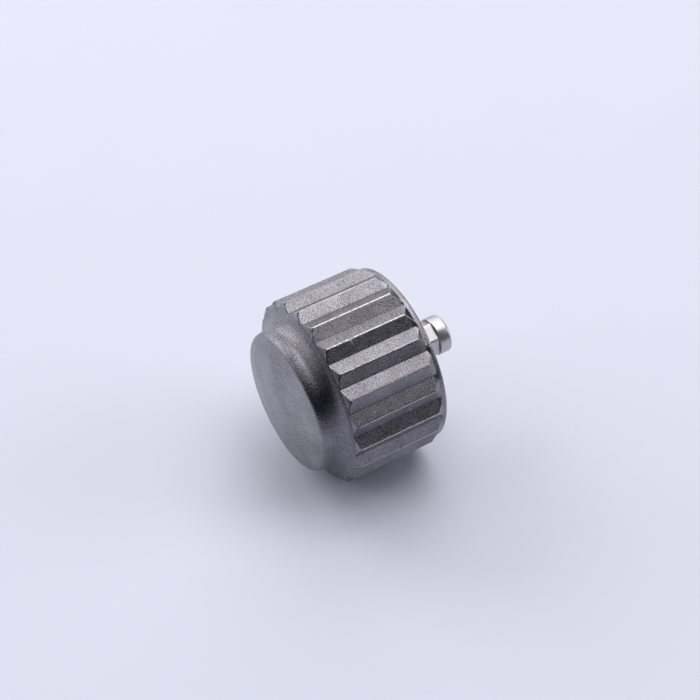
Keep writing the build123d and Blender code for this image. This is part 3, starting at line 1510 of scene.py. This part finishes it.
@dataclass
class ReturnSpring:
    """The spring that pushes the post out of the barrel; the real one shortens with it, but this piece
    keeps one length.

    Attributes:
        radius: the mean radius of its turns.
        wire: the wire's diameter.
        front: where the spring begins along the axis.
        rear: where it ends.
        turns: how many turns it has.
        travel: how far the post can push it together; not used.
        sides: how many sides the wire has.
        turn_steps: how many steps a turn has.
        end_turn: how much of a turn is drawn in at each end.
        end_sink: how far it is drawn in, in wire diameters for a whole turn.
    """

    radius: float = 0.78
    wire: float = 0.18
    front: float = -3.39
    rear: float = -1.24
    turns: float = 4.5
    travel: float = 1.15
    sides: int = 20
    turn_steps: int = 72
    end_turn: float = 0.75
    end_sink: float = 0.2

    def rise(self, share: float) -> float:
        """Gives the place of the wire's middle along the axis.

        Args:
            share: how far along the wire it is, 0 to 1.

        Returns:
            The place, drawn in towards the ends.
        """
        even = self.front + self.wire / 2 + (self.rear - self.front - self.wire) * share
        end = min(share, 1 - share) * self.turns
        if end >= self.end_turn:
            return even
        flat = (self.end_turn - end) * self.end_sink * self.wire
        return even + (flat if share > 0.5 else -flat)

    def wind(self) -> bpy.types.Object:
        """Winds the wire, ground flat at both ends.

        Returns:
            The spring.
        """
        steps = int(self.turns * self.turn_steps)
        half, sides = self.wire / 2, self.sides
        points, faces = [], []
        for i in range(steps + 1):
            share = i / steps
            turn = 2 * math.pi * self.turns * share
            middle = self.rise(share)
            for k in range(sides):
                around = 2 * math.pi * k / sides
                radius = self.radius + half * math.cos(around)
                y = min(max(middle + half * math.sin(around), self.front), self.rear)
                points.append(off_axis(radius, y, turn))
        for i in range(steps):
            faces += [quad((i, i + 1), (k, (k + 1) % sides), sides) for k in range(sides)]
        faces.append(tuple(range(sides - 1, -1, -1)))
        faces.append(tuple(steps * sides + k for k in range(sides)))
        return make_object("post_spring", np.array(points), faces, sharp=60)

    def build(self, dressing: Dressing) -> None:
        """Builds and dresses the spring.

        Args:
            dressing: the finishes.
        """
        piece = self.wind()
        dressing.put_on(piece, Body.HEAD, Slot.SPRING, "return_spring")
        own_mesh(piece)


@dataclass(frozen=True)
class Ring:
    """A turned ring that stands for one of the frame's nodes.

    Attributes:
        node: the node it stands for.
        slot: the slot of its finish.
        inner: its inner radius.
        outer: its outer radius.
        front: where it begins along the axis.
        rear: where it ends.
        edge: the rounding of its edges.
        lead: the chamfer of its outer rear edge.
        steps: how many edges each rounding has.
    """

    node: str
    slot: Slot
    inner: float
    outer: float
    front: float
    rear: float
    edge: float = 0.012
    lead: float = 0.0
    steps: int = 4

    def section(self) -> list[Point]:
        """Draws the ring's section.

        Returns:
            The points (radius, y) of the loop.
        """
        corners = [
            Corner(self.inner, self.front, self.edge),
            Corner(self.outer, self.front, self.edge),
        ]
        if self.lead > 0:
            corners += [
                Corner(self.outer, self.rear - self.lead, self.edge),
                Corner(self.outer - self.lead, self.rear, self.edge),
            ]
        else:
            corners.append(Corner(self.outer, self.rear, self.edge))
        corners.append(Corner(self.inner, self.rear, self.edge))
        return rounded(corners, self.steps, closed=True)

    def build(self, dressing: Dressing) -> None:
        """Builds and dresses the ring.

        Args:
            dressing: the finishes.
        """
        piece = turned_ring(self.node + "_piece", self.section())
        dressing.put_on(piece, Body.HEAD, self.slot, self.node)


@dataclass
class SealStack:
    """The O-rings on the barrel, with the rings between and behind them, and the gasket.

    Attributes:
        seal_inner: the inner radius of the O-rings.
        thickness: the thickness of their section.
        sides: how many sides their section has.
        inner_centre: the middle of the deeper O-ring along the axis.
        outer_centre: the middle of the outer one.
        rings: the turned rings, the washers and the gasket.
    """

    seal_inner: float = 1.24
    thickness: float = 0.5
    sides: int = 40
    inner_centre: float = -1.83
    outer_centre: float = -0.99
    rings: tuple[Ring, ...] = (
        Ring("o_ring_spacer", Slot.INNER, 1.24, 1.6, -1.55, -1.27),
        Ring("o_ring_retainer", Slot.INNER, 1.24, 1.6, -0.71, 0.22, lead=0.12),
        Ring("gasket_pressure_washer", Slot.INNER, 1.66, 2.83, -2.80, -2.67),
        Ring("seat_gasket", Slot.RUBBER, 1.66, 2.82, -3.17, -2.80, edge=0.08),
        Ring("stop_washer", Slot.POLYMER, 0.736, 0.98, -0.72, -0.60, edge=0.015),
        Ring("spring_seat_washer", Slot.INNER, 0.53, 0.98, -3.52, -3.40),
    )

    def loop(self, centre: float) -> list[Point]:
        """Draws the round section of an O-ring.

        Args:
            centre: the middle of the O-ring along the axis.

        Returns:
            The points (radius, y) of the loop.
        """
        half = self.thickness / 2
        middle = self.seal_inner + half
        turns = [2 * math.pi * k / self.sides for k in range(self.sides)]
        return [(middle + half * math.cos(turn), centre + half * math.sin(turn)) for turn in turns]

    def build(self, dressing: Dressing) -> None:
        """Builds and dresses the seals.

        Args:
            dressing: the finishes.
        """
        for ring in self.rings:
            ring.build(dressing)
        for node, centre in (("inner_o_ring", self.inner_centre), ("outer_o_ring", self.outer_centre)):
            piece = turned_ring(node + "_piece", self.loop(centre))
            dressing.put_on(piece, Body.HEAD, Slot.RUBBER, node)


@dataclass
class KeptPieces:
    """Nodes of the frame that keep their own mesh and get a finish."""

    slots: Mapping[str, Slot] = field(
        default_factory=lambda: {
            "thread_sleeve": Slot.INNER,
            "centre_barrel": Slot.INNER,
            "hex_guide_bush": Slot.INNER,
            "bush_retaining_clip": Slot.SPRING,
            "post_piston": Slot.INNER,
        }
    )

    def build(self, dressing: Dressing, nodes: Mapping[str, bpy.types.Object]) -> None:
        """Dresses the kept nodes.

        Args:
            dressing: the finishes.
            nodes: the frame's nodes by name.
        """
        for name, slot in self.slots.items():
            dressing.dress(nodes[name], slot)


# Studio


@dataclass(frozen=True)
class Softbox:
    """A square soft lamp that looks at the crown.

    Attributes:
        name: the lamp's name.
        azimuth: its direction, in degrees, as the views count it.
        elevation: its height above the floor, in degrees.
        distance: how far away it is, in metres.
        size: the length of its side, in metres.
        radiance: how bright its surface is; 1 is white.
        tint: its colour.
    """

    name: str
    azimuth: float
    elevation: float
    distance: float
    size: float
    radiance: float
    tint: Colour = (0.985, 0.985, 1.0)

    def build(self) -> None:
        """Hangs the lamp."""
        azimuth, elevation = math.radians(self.azimuth), math.radians(self.elevation)
        away = Vector(
            (
                math.sin(azimuth) * math.cos(elevation),
                -math.cos(azimuth) * math.cos(elevation),
                math.sin(elevation),
            )
        )
        lamp = bpy.data.lights.new(self.name, "AREA")
        lamp.shape = "SQUARE"
        lamp.size = self.size
        lamp.energy = self.radiance * math.pi * self.size**2
        lamp.color = self.tint
        hung = bpy.data.objects.new(self.name, lamp)
        hung.location = away * self.distance
        hung.rotation_mode = "QUATERNION"
        hung.rotation_quaternion = away.to_track_quat("Z", "Y")
        hung.visible_camera = False
        bpy.context.scene.collection.objects.link(hung)
        log.info("lamp %s hung", self.name)


@dataclass
class Studio:
    """The pale table, the dark card, the soft lamps and the camera.

    Attributes:
        table_reach: half the table's side, in metres.
        card_from: the direction of the card's first edge, in degrees, as the views count it.
        card_to: the direction of its last edge.
        card_away: how far it stands from the crown's middle, in millimetres.
        card_height: how high it is.
        card_steps: how many flats it is bent into.
        world: the colour of the dim room.
        lens: the focal length, in millimetres.
        sensor: the width of the camera's sensor.
        clip: the nearest and furthest distance it sees, in metres.
        eye: where it stands, in millimetres.
        aim: the point it looks at.
        up: its upward direction.
        lamps: the soft lamps.
    """

    table_reach: float = 0.6
    card_from: float = -8.0
    card_to: float = 122.0
    card_away: float = 26.0
    card_height: float = 12.0
    card_steps: int = 24
    world: Colour = (0.008, 0.008, 0.032)
    lens: float = 97.04
    sensor: float = 36.0
    clip: Pair = (0.001, 10.0)
    eye: tuple[float, float, float] = (43.37, -25.40, 46.85)
    aim: tuple[float, float, float] = (-0.160, -1.847, 0.986)
    up: tuple[float, float, float] = (-0.57614, 0.39391, 0.71617)
    lamps: tuple[Softbox, ...] = (
        Softbox("rear_high", 166, 67, 0.35, 0.22, 2.6),
        Softbox("rear_left_high", -130, 62, 0.35, 0.22, 1.75),
        Softbox("rear_left", -125, 28, 0.38, 0.30, 1.4),
        Softbox("left", -75, 30, 0.38, 0.20, 4.1),
        Softbox("left_low", -95, 12, 0.38, 0.14, 0.72),
        Softbox("front_left", -30, 35, 0.38, 0.28, 1.0),
        Softbox("front_left_low", -50, 12, 0.38, 0.14, 2.5),
        Softbox("front_high", 10, 65, 0.35, 0.26, 0.5),
        Softbox("rear_right", 152, 22, 0.36, 0.18, 3.2),
    )

    def lay_table(self, height: float) -> None:
        """Lays the table under the crown.

        Args:
            height: the height of the tabletop, in metres.
        """
        reach = self.table_reach
        sides = ((-reach, -reach), (reach, -reach), (reach, reach), (-reach, reach))
        corners = np.array([(x, y, height) for x, y in sides])
        table = make_object("table", corners / MM, [(0, 1, 2, 3)])
        table.data.materials.append(PaleTable().build())
        table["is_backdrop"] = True

    def stand_card(self, height: float) -> None:
        """Stands the dark card that the steel on the crown's right side mirrors.

        Only reflections see the card, so it neither shades the table nor hides the crown.

        Args:
            height: the height of the tabletop, in metres.
        """
        foot, top = height / MM, height / MM + self.card_height
        columns = []
        for i in range(self.card_steps + 1):
            turn = self.card_from + (self.card_to - self.card_from) * i / self.card_steps
            azimuth = math.radians(turn)
            across, ahead = self.card_away * math.sin(azimuth), -self.card_away * math.cos(azimuth)
            columns += [(across, ahead, foot), (across, ahead, top)]
        faces = [(2 * i, 2 * i + 2, 2 * i + 3, 2 * i + 1) for i in range(self.card_steps)]
        card = make_object("dark_card", np.array(columns), faces)
        card.data.materials.append(DarkCard().build())
        card.visible_camera = card.visible_shadow = card.visible_diffuse = False
        card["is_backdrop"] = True

    def light(self) -> None:
        """Hangs the lamps and sets the dim room round them."""
        world = bpy.data.worlds.new("room")
        world.use_nodes = True
        background = world.node_tree.nodes["Background"]
        background.inputs["Color"].default_value = (*self.world, 1.0)
        background.inputs["Strength"].default_value = 1.0
        bpy.context.scene.world = world
        for lamp in self.lamps:
            lamp.build()

    def shoot(self) -> None:
        """Sets the camera where the photograph was taken from."""
        eye, aim, up = Vector(self.eye) * MM, Vector(self.aim) * MM, Vector(self.up)
        back = (eye - aim).normalized()
        right = up.cross(back).normalized()
        upright = back.cross(right)
        camera = bpy.data.cameras.new("camera")
        camera.lens = self.lens
        camera.sensor_width = self.sensor
        camera.clip_start, camera.clip_end = self.clip
        held = bpy.data.objects.new("camera", camera)
        held.matrix_world = Matrix.Translation(eye) @ Matrix((right, upright, back)).transposed().to_4x4()
        bpy.context.scene.collection.objects.link(held)
        bpy.context.scene.camera = held

    def build(self, floor: float) -> None:
        """Builds the studio.

        Args:
            floor: the height of the crown's lowest point, in metres.
        """
        self.lay_table(floor)
        self.stand_card(floor)
        self.light()
        self.shoot()
        view = bpy.context.scene.view_settings
        view.view_transform = "Standard"


def finishes() -> dict[Slot, bpy.types.Material]:
    """Mixes the finishes.

    Returns:
        One material for each slot of the record.
    """
    return {
        Slot.HEAD: BlastedSteel().build(),
        Slot.POST: TurnedSteel("post_steel", (0.60, 0.585, 0.59), 0.34, ring_depth=0.0015).build(),
        Slot.INNER: TurnedSteel("inner_steel", (0.52, 0.51, 0.52), 0.30).build(),
        Slot.SPRING: DrawnWire().build(),
        Slot.RUBBER: SealRubber().build(),
        Slot.POLYMER: WasherPolymer().build(),
    }


def main() -> None:
    """Loads the frame, then builds and dresses the crown and its studio."""
    logging.basicConfig(level=logging.INFO, format="%(message)s")
    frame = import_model()
    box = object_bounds()
    dressing = Dressing(finishes())
    CrownHead().build(dressing)
    StemPost().build(dressing)
    ReturnSpring().build(dressing)
    SealStack().build(dressing)
    KeptPieces().build(dressing, frame["nodes"])
    Studio().build(box[0].z)
    bpy.context.view_layer.update()


if __name__ == "__main__":
    main()
